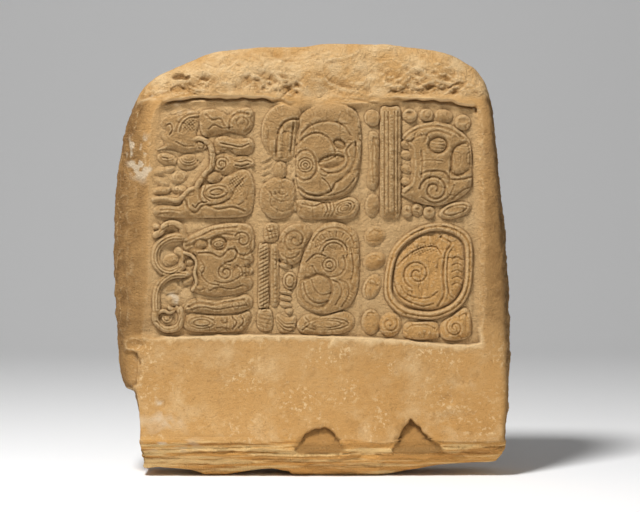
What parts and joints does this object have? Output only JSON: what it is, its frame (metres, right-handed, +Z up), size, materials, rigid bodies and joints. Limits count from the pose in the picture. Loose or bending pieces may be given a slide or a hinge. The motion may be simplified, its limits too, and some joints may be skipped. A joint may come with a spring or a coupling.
{
  "type": "carved stone panel",
  "caption": "Upright limestone slab with broken edges; a sunk square field holds rows of low-relief carved blocks above a plain border.",
  "frame": {"origin": "middle of the outline on the plane that the stone stands on", "axes": "+Z up the stone, -Y out of the carved face, +X to the right as the face is looked at"},
  "size_m": [0.405, 0.09, 0.4375],
  "materials": {
    "limestone": "matt weathered golden limestone, chalky worn patches on the edges, darker dirt in the cuts"
  },
  "bodies": {
    "root": {"carved_panel": "limestone"}
  },
  "joints": []
}
